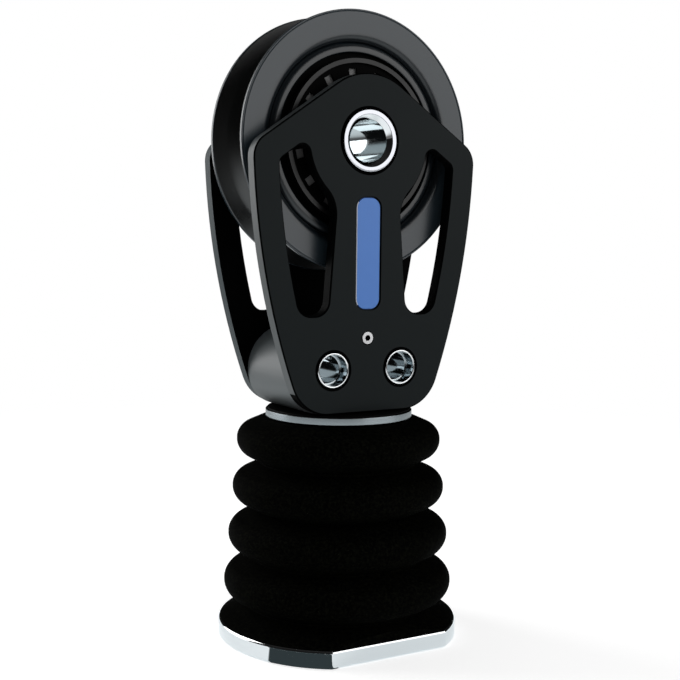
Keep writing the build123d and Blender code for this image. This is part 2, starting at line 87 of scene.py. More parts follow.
# Studio: a pale floor and two soft panels that stand on it.
# All round, the camera sees plain white, and polished metal mirrors dark walls.
studio = {
    "floorHalf": 3.0,
    "floorTone": 0.80,
    "floorGlow": 0.55,                # what the camera sees on top of the lit floor
    "floorFade": (0.10, 0.40),        # from here outwards it sees the floor turn plain white
    "worldLight": 0.42,
    # what metal mirrors
    "mirrorGlow": 0.46,               # on top of the lit floor
    "mirrorTint": (0.84, 0.96, 1.0),
    "farFloor": 0.16,
    "farFloorFade": (0.20, 0.50),
    "lastFloorFade": (0.85, 1.15),    # from here outwards the floor turns as dark as the walls
    "darkWalls": 0.008,
    "ceiling": 0.015,
    "ceilingHeights": (0.35, 0.85),   # height of the mirrored direction, where 1 is straight up
    # a low dark card beside the base, which shows in reflections alone
    "cardBearings": (32.6, 74.4),     # degrees from the front towards -X
    "cardRadius": 42.0,
    "cardHeight": 4.6,
    "cardLift": 0.2,
    "cardSteps": 24,
    "cardTone": (0.034, 0.046, 0.050),
    # the dark floor between base and card: lines as facing x, y and distance, and its soft edges
    "cardSides": ((-0.1045, -0.9945, 15.46), (-0.891, 0.454, 0.9)),
    "cardFadeOut": 1.0,
    "cardFadeSide": 0.5,
    "panels": [
        # name, degrees from the front towards +X, distance, width, height, brightness
        ("panelRight", 36, 1.00, 1.00, 0.85, 1.9),
        ("panelLeft", -142, 0.85, 0.62, 0.95, 3.6),
    ],
}


def newObject(name, bm):
    mesh = bpy.data.meshes.new(name)
    bm.to_mesh(mesh)
    bm.free()
    made = bpy.data.objects.new(name, mesh)
    bpy.context.scene.collection.objects.link(made)
    return made


def emptyMaterial(name, mesh):
    material = bpy.data.materials.new(name)
    material.use_nodes = True
    nodes, links = material.node_tree.nodes, material.node_tree.links
    nodes.clear()
    mesh.materials.append(material)
    return nodes, links, nodes.new("ShaderNodeOutputMaterial").inputs["Surface"]


def emission(nodes, tone=(1, 1, 1), strength=1.0):
    glow = nodes.new("ShaderNodeEmission")
    glow.inputs["Color"].default_value = (*tone, 1)
    glow.inputs["Strength"].default_value = strength
    return glow


def addShaders(nodes, links, first, second):
    both = nodes.new("ShaderNodeAddShader")
    links.new(first, both.inputs[0])
    links.new(second, both.inputs[1])
    return both.outputs[0]


def mixShader(nodes, links, factor, first, second):
    mix = nodes.new("ShaderNodeMixShader")
    links.new(factor, mix.inputs[0])
    links.new(first, mix.inputs[1])
    links.new(second, mix.inputs[2])
    return mix.outputs[0]


def remap(nodes, links, value, fromLow, fromHigh, toLow, toHigh, soft=True):
    node = nodes.new("ShaderNodeMapRange")
    node.interpolation_type = "SMOOTHSTEP" if soft else "LINEAR"
    node.inputs["From Min"].default_value = fromLow
    node.inputs["From Max"].default_value = fromHigh
    node.inputs["To Min"].default_value = toLow
    node.inputs["To Max"].default_value = toHigh
    links.new(value, node.inputs["Value"])
    return node.outputs["Result"]


def vectorLength(nodes, links, vector, keep=(1, 1, 1)):
    # keep holds 0 for each direction that is left out
    flatten = nodes.new("ShaderNodeVectorMath")
    flatten.operation = "MULTIPLY"
    flatten.inputs[1].default_value = keep
    links.new(vector, flatten.inputs[0])
    length = nodes.new("ShaderNodeVectorMath")
    length.operation = "LENGTH"
    links.new(flatten.outputs["Vector"], length.inputs[0])
    return length.outputs["Value"]


def makeWorld():
    world = bpy.data.worlds.new("studio")
    bpy.context.scene.world = world
    world.use_nodes = True
    nodes, links = world.node_tree.nodes, world.node_tree.links
    nodes.clear()
    output = nodes.new("ShaderNodeOutputWorld")
    lightPath = nodes.new("ShaderNodeLightPath")
    direction = nodes.new("ShaderNodeTexCoord")
    split = nodes.new("ShaderNodeSeparateXYZ")
    links.new(direction.outputs["Generated"], split.inputs[0])
    walls = remap(nodes, links, split.outputs["Z"], *studio["ceilingHeights"],
                  studio["darkWalls"], studio["ceiling"])
    seen = nodes.new("ShaderNodeBackground")
    mirrored = nodes.new("ShaderNodeBackground")
    links.new(walls, mirrored.inputs["Strength"])
    lit = nodes.new("ShaderNodeBackground")
    lit.inputs["Strength"].default_value = studio["worldLight"]
    for background in (seen, mirrored, lit):
        background.inputs["Color"].default_value = (1, 1, 1, 1)
    shown = mixShader(nodes, links, lightPath.outputs["Is Glossy Ray"], lit.outputs[0], mirrored.outputs[0])
    shown = mixShader(nodes, links, lightPath.outputs["Is Transmission Ray"], shown, seen.outputs[0])
    shown = mixShader(nodes, links, lightPath.outputs["Is Camera Ray"], shown, seen.outputs[0])
    links.new(shown, output.inputs["Surface"])


def cardMask(nodes, links, points, away):
    # 1 on the piece of floor between the base and the card
    radius = studio["cardRadius"]
    inside = remap(nodes, links, away, radius * mm, (radius + studio["cardFadeOut"]) * mm, 1.0, 0.0)
    for x, y, distance in studio["cardSides"]:
        dot = nodes.new("ShaderNodeVectorMath")
        dot.operation = "DOT_PRODUCT"
        dot.inputs[1].default_value = (x, y, 0)
        links.new(points, dot.inputs[0])
        side = remap(nodes, links, dot.outputs["Value"], distance * mm,
                     (distance + studio["cardFadeSide"]) * mm, 0.0, 1.0)
        both = nodes.new("ShaderNodeMath")
        both.operation = "MULTIPLY"
        links.new(inside, both.inputs[0])
        links.new(side, both.inputs[1])
        inside = both.outputs[0]
    return inside


def makeCard():
    bm = bmesh.new()
    first, last = (radians(bearing) for bearing in studio["cardBearings"])
    radius = studio["cardRadius"] * mm
    foot = bm.verts.new((-sin(first) * radius, -cos(first) * radius, studio["cardLift"] * mm))
    head = bm.verts.new(foot.co + Vector((0, 0, studio["cardHeight"] * mm)))
    upright = bm.edges.new((foot, head))
    bmesh.ops.spin(bm, geom=[foot, head, upright], cent=(0, 0, 0), axis=(0, 0, -1),
                   angle=last - first, steps=studio["cardSteps"])
    card = newObject("darkCard", bm)
    nodes, links, surface = emptyMaterial("darkCard", card.data)
    links.new(emission(nodes, studio["cardTone"]).outputs[0], surface)
    card.visible_camera = False
    card.visible_diffuse = False
    card.visible_shadow = False
    card.visible_transmission = False


def makeFloor():
    bm = bmesh.new()
    bmesh.ops.create_grid(bm, x_segments=1, y_segments=1, size=studio["floorHalf"])
    floor = newObject("floor", bm)
    nodes, links, surface = emptyMaterial("paleFloor", floor.data)
    where = nodes.new("ShaderNodeTexCoord")
    away = vectorLength(nodes, links, where.outputs["Object"])
    diffuse = nodes.new("ShaderNodeBsdfDiffuse")
    diffuse.inputs["Color"].default_value = (*[studio["floorTone"]] * 3, 1)
    # the camera's floor: lit near the object, plain white further out
    glow = emission(nodes, strength=studio["floorGlow"])
    lit = addShaders(nodes, links, diffuse.outputs[0], glow.outputs[0])
    white = emission(nodes)
    fade = remap(nodes, links, away, *studio["floorFade"], 0.0, 1.0)
    seen = mixShader(nodes, links, fade, lit, white.outputs[0])
    # the mirrored floor: bright near the object, grey further out, dark at the walls
    far = emission(nodes)
    farTone = remap(nodes, links, away, *studio["lastFloorFade"], studio["farFloor"], studio["darkWalls"])
    links.new(farTone, far.inputs["Strength"])
    fade = remap(nodes, links, away, *studio["farFloorFade"], 0.0, 1.0)
    sheen = emission(nodes, studio["mirrorTint"], studio["mirrorGlow"])
    near = addShaders(nodes, links, diffuse.outputs[0], sheen.outputs[0])
    mirrored = mixShader(nodes, links, fade, near, far.outputs[0])
    card = emission(nodes, studio["cardTone"])
    mask = cardMask(nodes, links, where.outputs["Object"], away)
    mirrored = mixShader(nodes, links, mask, mirrored, card.outputs[0])
    lightPath = nodes.new("ShaderNodeLightPath")
    shown = mixShader(nodes, links, lightPath.outputs["Is Glossy Ray"], diffuse.outputs[0], mirrored)
    shown = mixShader(nodes, links, lightPath.outputs["Is Camera Ray"], shown, seen)
    links.new(shown, surface)


def makePanels():
    for name, side, distance, width, tall, brightness in studio["panels"]:
        data = bpy.data.lights.new(name, "AREA")
        data.shape = "RECTANGLE"
        data.size = width
        data.size_y = tall
        data.energy = brightness * pi * width * tall
        lamp = bpy.data.objects.new(name, data)
        away = Vector((sin(radians(side)), -cos(radians(side)), 0))
        lamp.location = away * distance + Vector((0, 0, tall / 2))
        lamp.rotation_euler = away.to_track_quat("Z", "Y").to_euler()
        lamp.visible_camera = False
        bpy.context.scene.collection.objects.link(lamp)


makeCamera()
makeWorld()
makeFloor()
makeCard()
makePanels()
bpy.context.scene.view_settings.view_transform = "Standard"
print("camera and studio ready")


# Finishes. A noise is given as scale, detail and roughness, the depth of a grain in metres
texture = {
    "anodised": {"fine": (2600.0, 2.0, 0.6), "broad": (38.0, 3.0, 0.5), "roughSpread": (0.03, 0.04),
                 "depth": 0.00002, "grain": 0.3},
    "turned": {"ringScale": 5200.0, "ringDetail": 2.0, "roughSpread": (0.02, 0.02),
               "depth": 0.000004, "grain": 0.1},
    "polished": {"smear": (60.0, 4.0, 0.55), "fine": (900.0, 3.0, 0.55), "smearTone": 0.96,
                 "roughShares": (0.7, 1.5), "depth": 0.000004},
    "rubber": {"speck": (1500.0, 4.0, 0.7), "speckRange": (0.45, 0.75), "broad": (70.0, 3.0, 0.55),
               "depth": 0.00006, "grain": 0.5},
    "plastic": {"broad": (120.0, 3.0, 0.55), "fine": (700.0, 3.0, 0.55), "roughSpread": (0.04, 0.05),
                "depth": 0.00001, "grain": 0.2},
}


def newFinish(name):
    material = bpy.data.materials.new(name)
    material.use_nodes = True
    nodes = material.node_tree.nodes
    return material, nodes, material.node_tree.links, nodes["Principled BSDF"]


def objectPoints(nodes, links, centre=(0, 0, 0)):
    where = nodes.new("ShaderNodeTexCoord")
    mapping = nodes.new("ShaderNodeMapping")
    mapping.inputs["Location"].default_value = tuple(-c for c in centre)
    links.new(where.outputs["Object"], mapping.inputs["Vector"])
    return mapping.outputs["Vector"]


def noise(nodes, links, points, scale, detail, rough):
    cloud = nodes.new("ShaderNodeTexNoise")
    cloud.inputs["Scale"].default_value = scale
    cloud.inputs["Detail"].default_value = detail
    cloud.inputs["Roughness"].default_value = rough
    links.new(points, cloud.inputs["Vector"])
    return cloud.outputs["Fac"]


def spread(nodes, links, value, low, high, fromLow=0.3, fromHigh=0.7):
    # a noise keeps mostly between 0.3 and 0.7
    return remap(nodes, links, value, fromLow, fromHigh, low, high, soft=False)


def grain(nodes, links, shader, height, depth, strength):
    bump = nodes.new("ShaderNodeBump")
    bump.inputs["Strength"].default_value = strength
    bump.inputs["Distance"].default_value = depth
    links.new(height, bump.inputs["Height"])
    links.new(bump.outputs["Normal"], shader.inputs["Normal"])


def twoTone(nodes, links, factor, dark, light):
    mix = nodes.new("ShaderNodeMix")
    mix.data_type = "RGBA"
    mix.inputs[6].default_value = (*dark, 1)
    mix.inputs[7].default_value = (*light, 1)
    links.new(factor, mix.inputs[0])
    return mix.outputs[2]


def paintedFootShade(nodes, links, points, tone, low, high, share):
    # painted shade: the tone falls to a share of itself from the one height (mm) down to the other, standing
    # in for the shade near the boot
    split = nodes.new("ShaderNodeSeparateXYZ")
    links.new(points, split.inputs[0])
    scaled = nodes.new("ShaderNodeVectorMath")
    scaled.operation = "SCALE"
    links.new(tone, scaled.inputs[0])
    factor = remap(nodes, links, split.outputs["Z"], low * mm, high * mm, share, 1.0)
    links.new(factor, scaled.inputs["Scale"])
    return scaled.outputs["Vector"]


def anodised(name, dark, light, rough, shine, paintedShade=None):
    look = texture["anodised"]
    material, nodes, links, shader = newFinish(name)
    points = objectPoints(nodes, links)
    fine = noise(nodes, links, points, *look["fine"])
    broad = noise(nodes, links, points, *look["broad"])
    tone = twoTone(nodes, links, broad, dark, light)
    if paintedShade:
        tone = paintedFootShade(nodes, links, points, tone, *paintedShade)
    links.new(tone, shader.inputs["Base Color"])
    under, over = look["roughSpread"]
    links.new(spread(nodes, links, broad, rough - under, rough + over), shader.inputs["Roughness"])
    shader.inputs["Specular IOR Level"].default_value = shine
    grain(nodes, links, shader, fine, look["depth"], look["grain"])
    return material


def turnedBlack(name, dish, land, dishShadeFade, rough, shine):
    # fine rings about the axle as a lathe leaves them; the colour is lighter on the flat land near the rim
    # and painted darker into the dish, as shade where the surface turns away from the light
    look = texture["turned"]
    material, nodes, links, shader = newFinish(name)
    points = objectPoints(nodes, links, axleCentre)
    radius = vectorLength(nodes, links, points, (1, 0, 1))
    rings = nodes.new("ShaderNodeTexNoise")
    rings.noise_dimensions = "1D"
    rings.inputs["Scale"].default_value = look["ringScale"]
    rings.inputs["Detail"].default_value = look["ringDetail"]
    links.new(radius, rings.inputs["W"])
    start, end = dishShadeFade
    outer = remap(nodes, links, radius, start * mm, end * mm, 0.0, 1.0)
    links.new(twoTone(nodes, links, outer, dish, land), shader.inputs["Base Color"])
    under, over = look["roughSpread"]
    roughness = spread(nodes, links, rings.outputs["Fac"], rough - under, rough + over)
    links.new(roughness, shader.inputs["Roughness"])
    shader.inputs["Specular IOR Level"].default_value = shine
    grain(nodes, links, shader, rings.outputs["Fac"], look["depth"], look["grain"])
    return material


def polished(name, tone, rough, scratch=0.12):
    look = texture["polished"]
    material, nodes, links, shader = newFinish(name)
    points = objectPoints(nodes, links)
    smear = noise(nodes, links, points, *look["smear"])
    fine = noise(nodes, links, points, *look["fine"])
    shader.inputs["Metallic"].default_value = 1.0
    low = tuple(c * look["smearTone"] for c in tone)
    links.new(twoTone(nodes, links, smear, low, tone), shader.inputs["Base Color"])
    least, most = look["roughShares"]
    links.new(spread(nodes, links, smear, rough * least, rough * most), shader.inputs["Roughness"])
    grain(nodes, links, shader, fine, look["depth"], scratch)
    return material


def rubber(name, dark, light, rough, shine):
    look = texture["rubber"]
    material, nodes, links, shader = newFinish(name)
    points = objectPoints(nodes, links)
    speck = noise(nodes, links, points, *look["speck"])
    broad = noise(nodes, links, points, *look["broad"])
    specks = spread(nodes, links, speck, 0, 1, *look["speckRange"])
    links.new(twoTone(nodes, links, specks, dark, light), shader.inputs["Base Color"])
    links.new(spread(nodes, links, broad, *rough), shader.inputs["Roughness"])
    shader.inputs["Specular IOR Level"].default_value = shine
    grain(nodes, links, shader, speck, look["depth"], look["grain"])
    return material


def plastic(name, dark, light, rough, shine):
    look = texture["plastic"]
    material, nodes, links, shader = newFinish(name)
    points = objectPoints(nodes, links)
    broad = noise(nodes, links, points, *look["broad"])
    fine = noise(nodes, links, points, *look["fine"])
    links.new(twoTone(nodes, links, broad, dark, light), shader.inputs["Base Color"])
    under, over = look["roughSpread"]
    links.new(spread(nodes, links, broad, rough - under, rough + over), shader.inputs["Roughness"])
    shader.inputs["Specular IOR Level"].default_value = shine
    grain(nodes, links, shader, fine, look["depth"], look["grain"])
    return material


def middle(box):
    low, high = box
    return (low + high) / 2


axleCentre = middle(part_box("axle_tube"))
finishes = {
    "polished_steel": polished("polishedSteel", (0.84, 0.85, 0.86), rough=0.06),
    "pin_steel": polished("pinSteel", (0.60, 0.60, 0.61), rough=0.28, scratch=0.3),
    "spring_steel": polished("springSteel", (0.62, 0.62, 0.63), rough=0.22, scratch=0.3),
    "boot_rubber": rubber("bootRubber", (0.0006, 0.0006, 0.0005), (0.0046, 0.0050, 0.0030),
                          rough=(0.74, 0.86), shine=0.01),
    # painted shade: the head block darkens towards its foot, where the boot shades it
    "grey_aluminium": anodised("greyAluminium", (0.078, 0.090, 0.094), (0.100, 0.113, 0.117),
                               rough=0.46, shine=0.38, paintedShade=(55.2, 60.5, 0.16)),
    "black_cheek": anodised("blackCheek", (0.0052, 0.0079, 0.0086), (0.0068, 0.0097, 0.0104),
                            rough=0.42, shine=0.09),
    # painted shade: the dish is near-black and the land lighter, standing in for the light falling off over
    # the dish
    "black_sheave": turnedBlack("blackSheave", (0.0030, 0.0060, 0.0085), (0.015, 0.024, 0.031),
                                dishShadeFade=(23.5, 25.2), rough=0.32, shine=0.62),
    # painted shade: near-black turned metal for the deep parts of the wheel, standing in for the shade in its
    # grooves
    "sheave_groove_painted_shade": anodised("sheaveGroovePaintedShade", (0.0006, 0.0009, 0.0010), (0.0012, 0.0017, 0.0018),
                              rough=0.30, shine=0.95),
    "black_cage": plastic("blackCage", (0.0015, 0.0015, 0.0016), (0.0030, 0.0030, 0.0031),
                          rough=0.34, shine=0.35),
    # the dull black of the cage's plates, also used as painted shade in the wheel's side grooves
    "cage_plate_and_groove_shade": plastic("cagePlateAndGrooveShade", (0.0006, 0.0006, 0.0006), (0.0012, 0.0012, 0.0012),
                          rough=0.6, shine=0.03),
    # painted light: the front cheek's outer walls, far lighter than its faces as if lit; towards the foot
    # they darken as painted shade
    "cheek_walls_painted_light": anodised("cheekWallsPaintedLight", (0.062, 0.070, 0.073), (0.076, 0.085, 0.088),
                            rough=0.42, shine=0.26, paintedShade=(55.0, 58.0, 0.10)),
    # painted light: the rear cheek's outer walls, lighter than its faces as if lit; towards the foot they
    # darken as painted shade
    "rear_walls_painted_light": anodised("rearWallsPaintedLight", (0.050, 0.062, 0.066), (0.064, 0.077, 0.083),
                           rough=0.42, shine=0.07, paintedShade=(55.0, 58.0, 0.10)),
    # painted shade: the walls inside the cheeks' windows are near-black
    "window_walls_painted_shade": anodised("windowWallsPaintedShade", (0.0009, 0.0012, 0.0013), (0.0014, 0.0017, 0.0018),
                             rough=0.5, shine=0.04),
    # painted shade: near-black for countersinks, the front cheek's foot walls, the rear cheek's inner face
    # and the screw's socket
    "painted_shade_black": anodised("paintedShadeBlack", (0.0005, 0.0006, 0.0006), (0.0008, 0.0009, 0.0009),
                           rough=0.6, shine=0.02),
    "black_acetal": plastic("blackAcetal", (0.0012, 0.0012, 0.0012), (0.0024, 0.0024, 0.0024),
                            rough=0.5, shine=0.04),
    "collar_steel": polished("collarSteel", (0.39, 0.43, 0.45), rough=0.20, scratch=0.3),
    # painted shade: the axle's bore is toned darker than the tube's own steel, standing in for the shade
    # inside it
    "axle_bore_painted_shade": polished("axleBorePaintedShade", (0.44, 0.485, 0.50), rough=0.08, scratch=0.3),
    "axle_face": polished("axleFace", (0.50, 0.51, 0.545), rough=0.12, scratch=0.3),
    # painted shade: the rivets' bores are toned darker than their own steel, standing in for the shade inside
    # them
    "rivet_bore_painted_shade": polished("rivetBorePaintedShade", (0.46, 0.50, 0.52), rough=0.06, scratch=0.2),
    "pale_acetal": plastic("paleAcetal", (0.11, 0.11, 0.11), (0.16, 0.16, 0.16), rough=0.4, shine=0.4),
    "bronze": polished("bronze", (0.62, 0.42, 0.20), rough=0.3, scratch=0.3),
    "blue_label": plastic("blueLabel", (0.062, 0.185, 0.53), (0.078, 0.215, 0.60), rough=0.32, shine=0.3),
    "label_edge": plastic("labelEdge", (0.020, 0.055, 0.19), (0.026, 0.066, 0.22), rough=0.32, shine=0.3),
    # painted highlight: the near-white of the label's rim where it catches the light
    "label_painted_highlight": plastic("labelPaintedHighlight", (0.88, 0.90, 0.96), (0.92, 0.94, 0.98),
                                rough=0.32, shine=0.5),
}
slotOf = {part["node"]: part["material_slot"] for part in frame["record"]["subparts"]}
print("finishes ready:", len(finishes))


# Mesh tools
tools = {
    "sharp": 32,            # degrees between two faces
    "normalWeight": 100,
    "cadMerge": 2e-6,       # metres
    "turningMerge": 1e-7,
}


def meshPiece(name, bm, finish, sharp=tools["sharp"]):
    # smooth round surfaces, true flat faces, and crisp edges above the given angle
    piece = newObject(name, bm)
    mesh = piece.data
    if "custom_normal" in mesh.attributes:
        mesh.attributes.remove(mesh.attributes["custom_normal"])
    for polygon in mesh.polygons:
        polygon.use_smooth = True
    mesh.set_sharp_from_angle(angle=radians(sharp))
    mesh.materials.append(finishes[finish])
    weighted = piece.modifiers.new("weightedNormals", "WEIGHTED_NORMAL")
    weighted.mode = "FACE_AREA"
    weighted.weight = tools["normalWeight"]
    weighted.keep_sharp = True
    return piece


def bodyOf(node):
    return next(body for body, nodes in frame["record"]["behaviour"]["bodies"].items() if node in nodes)


def standFor(piece, *nodes):
    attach(piece, bodyOf(nodes[0]))
    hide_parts(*nodes)
    return piece


def refinish(piece, finish, chosen):
    # gives the faces that pass the test another finish
    piece.data.materials.append(finishes[finish])
    for polygon in piece.data.polygons:
        if chosen(polygon):
            polygon.material_index = len(piece.data.materials) - 1


def fromAxle(face):
    return (face.center - axleCentre).xz.length


def smoothCopy(node, name):
    bm = bmesh.new()
    bm.from_mesh(frame["nodes"][node].data)
    bmesh.ops.remove_doubles(bm, verts=bm.verts, dist=tools["cadMerge"])
    return standFor(meshPiece(name, bm, slotOf[node]), node)


def lathe(bm, corners, centre, axis, steps, bendSteps):
    # a closed outline of (radius, along, rounding) corners in mm, turned about the Y or Z axis through centre
    axis = Vector(axis)
    out = Vector((1, 0, 0))
    ring = [bm.verts.new(centre + out * radius * mm + axis * along * mm) for radius, along, _ in corners]
    bm.faces.new(ring)
    for bend in sorted({bend for _, _, bend in corners if bend}):
        chosen = [vert for vert, corner in zip(ring, corners) if corner[2] == bend]
        bmesh.ops.bevel(bm, geom=chosen, offset=bend * mm, offset_type="ABSOLUTE", segments=bendSteps,
                        profile=0.5, affect="VERTICES", clamp_overlap=False, material=-1)
    bmesh.ops.delete(bm, geom=bm.faces[:], context="FACES_ONLY")
    merge = tools["turningMerge"]
    onAxis = [e for e in bm.edges if all((v.co - centre).cross(axis).length < merge for v in e.verts)]
    bmesh.ops.delete(bm, geom=onAxis, context="EDGES")
    bmesh.ops.spin(bm, geom=bm.verts[:] + bm.edges[:], cent=centre, axis=axis, angle=2 * pi,
                   steps=steps, use_merge=True)
    bmesh.ops.remove_doubles(bm, verts=bm.verts, dist=merge)
    bmesh.ops.recalc_face_normals(bm, faces=bm.faces)


# Boot: the bellows in two lengths that meet in a valley
boot = {
    "bulges": 4,
    "pitch": 11.37,
    "growth": 1.0,
    "topRadius": 24.34,
    "depth": 6.0,
    "faceHalf": 2.6,
    "bulgeBend": 2.32,
    "valleyBend": 0.7,
    "wall": 1.6,
    "lipRadius": 18.3,
    "lipRise": 5.2,
    "lipBend": 0.5,
    "neck": 6.8,
    "footInner": 23.32,
    "footHalf": 24.3,
    "footTop": 7.555,
    "footSlack": 0.2,            # the flats are cut up to this far above the foot
    "recessTop": 5.7,
    "deck": 4.2,
    "steps": 160,
    "bendSteps": 8,
    "joinValley": 2,             # counted from the top
    "lowerBend": (5.0, 30.0),    # heights between which each length bends
    "upperBend": (30.6, 50.0),
}


def bootCorners():
    # the valleys and bulges from the top, outside and inside, as (radius, height, rounding)
    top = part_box("boot")[1].z / mm
    outside = [(boot["lipRadius"], top, boot["lipBend"])]
    inside = [(boot["lipRadius"] - boot["wall"], top - boot["wall"], 0)]
    valleys = []
    for index in range(boot["bulges"]):
        z = top - boot["lipRise"] - index * boot["pitch"]
        radius = boot["topRadius"] + index * boot["growth"]
        valley, valleyZ = radius - boot["depth"], z - boot["pitch"] / 2
        outside.append((radius, z + boot["faceHalf"], boot["bulgeBend"]))
        outside.append((radius, z - boot["faceHalf"], boot["bulgeBend"]))
        outside.append((valley, valleyZ, boot["valleyBend"]))
        inside.append((radius - boot["wall"], z, 0))
        inside.append((valley - boot["wall"], valleyZ, 0))
        valleys.append((len(outside) - 1, len(inside) - 1))
    footRadius = boot["topRadius"] + boot["bulges"] * boot["growth"]
    footZ = top - boot["lipRise"] - boot["bulges"] * boot["pitch"]
    outside.append((footRadius, footZ + boot["faceHalf"], boot["bulgeBend"]))
    outside.append((footRadius, boot["deck"], 0))
    return outside, inside, valleys, top


def cutFlats(bm):
    # the two flats of the foot, which follow those of the base
    for side in (-1, 1):
        footZ = (boot["footTop"] + boot["footSlack"]) * mm
        low = [f for f in bm.faces if all(v.co.z < footZ for v in f.verts)]
        geom = low + list({e for f in low for e in f.edges}) + list({v for f in low for v in f.verts})
        bmesh.ops.bisect_plane(bm, geom=geom, plane_co=(0, side * boot["footHalf"] * mm, 0),
                               plane_no=(0, side, 0), clear_outer=True)
        bmesh.ops.holes_fill(bm, edges=[e for e in bm.edges if e.is_boundary], sides=0)
    bmesh.ops.recalc_face_normals(bm, faces=bm.faces)


def bootPiece(name, corners, foot=False):
    bm = bmesh.new()
    lathe(bm, corners, Vector((0, 0, 0)), (0, 0, 1), boot["steps"], boot["bendSteps"])
    if foot:
        cutFlats(bm)
    piece = meshPiece(name, bm, "boot_rubber")
    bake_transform(piece)
    return piece


def makeBoot():
    outside, inside, valleys, top = bootCorners()
    outerJoin, innerJoin = valleys[boot["joinValley"] - 1]
    joinRadius, joinZ, _ = outside[outerJoin]
    join = (joinRadius, joinZ, 0)
    upper = outside[:outerJoin] + [join, inside[innerJoin]] + inside[:innerJoin][::-1]
    upper += [(boot["neck"], top - boot["wall"], 0), (boot["neck"], top, 0)]
    lower = [join] + outside[outerJoin + 1:]
    lower += [(boot["footInner"], boot["deck"], 0), (boot["footInner"], boot["recessTop"], 0)]
    lower += [(inside[-1][0], boot["recessTop"], 0)] + inside[innerJoin:][::-1]
    bootPiece("bootUpper", upper)
    lowerPiece = bootPiece("bootLower", lower, foot=True)
    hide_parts("boot")


makeBoot()
print("boot ready")


# Sheave: turned wheel with a rope groove, a flat land, a dish and a raised ring on each side
sheave = {
    "radius": 30.0,
    "half": 7.96,
    "rimHalf": 6.96,
    "rimBend": 0.25,
    "edgeBend": 0.15,
    # a fine line inside the edge, as steps in from the edge, down from the side, rounding
    "edgeLine": ((0.55, 0.06, 0.1), (0.45, 0.22, 0.06), (0.32, 0.0, 0.06)),
    "ropeFloor": 23.4,
    "ropeBend": 6.97,
    "ropeSteps": 16,
    "landInner": 24.5,
    "landDrop": 0.3,
    "dishRadius": 22.7,
    "dishDrop": 1.9,
    "dishSteps": 7,
    "ringHalf": 7.1,
    "ringOuter": 22.2,
    "ringOuterBend": 0.9,
    "ringInner": 20.35,
    "ringInnerBend": 0.3,
    "grooveHalf": 5.9,       # floor of the side groove
    "grooveBend": 0.2,
    "lipRadius": 18.4,
    "lipBend": 0.15,
    "race": 17.8,
    "steps": 192,
    "bendSteps": 6,
    "sharp": 40,
    # where the painted shade of the grooves begins
    "floorSlack": 0.05,
    "raceSlack": 0.01,
    "wallSlack": 0.02,
    "ropeFrom": 1.2,         # outwards from the ring
    "grooveFrom": 5.0,       # from the middle
}


def turnedPiece(name, node, outlines, centre, axis, steps=128, sharp=tools["sharp"], bendSteps=3):
    # each outline comes with the offset of its own axis from the centre, in mm
    bm = bmesh.new()
    for corners, offset in outlines:
        part = bmesh.new()
        lathe(part, corners, centre + Vector(offset) * mm, axis, steps, bendSteps)
        mesh = bpy.data.meshes.new("turning")
        part.to_mesh(mesh)
        part.free()
        bm.from_mesh(mesh)
        bpy.data.meshes.remove(mesh)
    return standFor(meshPiece(name, bm, slotOf[node], sharp), node)


def dishCorners():
    # the rounded shoulder from the flat land down to the foot of the dish
    s = sheave
    run = s["landInner"] - s["dishRadius"]
    fall = s["dishDrop"] - s["landDrop"]
    bend = (run ** 2 + fall ** 2) / (2 * fall)
    turn = asin(run / bend)
    corners = []
    for index in range(s["dishSteps"], -1, -1):
        angle = turn * index / s["dishSteps"]
        drop = bend * (1 - cos(angle))
        corners.append((s["landInner"] - bend * sin(angle), s["half"] - s["landDrop"] - drop, 0))
    return corners


def sheaveCorners():
    s = sheave
    oneSide = [
        (s["race"], s["ringHalf"], s["grooveBend"]),
        (s["lipRadius"], s["ringHalf"], s["lipBend"]),
        (s["lipRadius"], s["grooveHalf"], s["grooveBend"]),
        (s["ringInner"], s["grooveHalf"], s["grooveBend"]),
        (s["ringInner"], s["ringHalf"], s["ringInnerBend"]),
        (s["ringOuter"], s["ringHalf"], s["ringOuterBend"]),
        *dishCorners(),
        *[(s["radius"] - inwards, s["half"] - down, bend) for inwards, down, bend in s["edgeLine"]],
        (s["radius"], s["half"], s["edgeBend"]),
        (s["radius"], s["rimHalf"], s["rimBend"]),
    ]
    rope = []
    for index in range(1, s["ropeSteps"]):
        along = s["rimHalf"] * (1 - 2 * index / s["ropeSteps"])
        drop = (s["ropeBend"] ** 2 - along ** 2) ** 0.5
        rope.append((s["ropeFloor"] + s["ropeBend"] - drop, along, 0))
    return oneSide + rope + [(r, -along, bend) for r, along, bend in oneSide[::-1]]


def fromMiddle(face):
    return abs(face.center.y - axleCentre.y)


def inDepth(face):
    # the rope groove between the flanges, the race, and the floors of the side grooves, which are painted
    # near-black as shade
    onFloor = fromMiddle(face) < (sheave["grooveHalf"] + sheave["floorSlack"]) * mm
    onRace = fromAxle(face) < (sheave["race"] + sheave["raceSlack"]) * mm
    onFlank = (fromMiddle(face) < (sheave["rimHalf"] + sheave["wallSlack"]) * mm
               and fromAxle(face) > (sheave["ringOuter"] + sheave["ropeFrom"]) * mm)
    return onFloor or onRace or onFlank


# the side groove between lip and raised ring, which is painted dull black as shade
def inSideGroove(face):
    inner = (sheave["lipRadius"] - sheave["wallSlack"]) * mm
    outer = (sheave["ringInner"] + sheave["wallSlack"]) * mm
    return inner < fromAxle(face) < outer and fromMiddle(face) > sheave["grooveFrom"] * mm


wheel = turnedPiece("sheaveWheel", "sheave", [(sheaveCorners(), (0, 0, 0))], axleCentre, (0, 1, 0),
                    sheave["steps"], sheave["sharp"], sheave["bendSteps"])
# painted shade: the grooves, race and side grooves of the wheel get near-black finishes
refinish(wheel, "sheave_groove_painted_shade", inDepth)
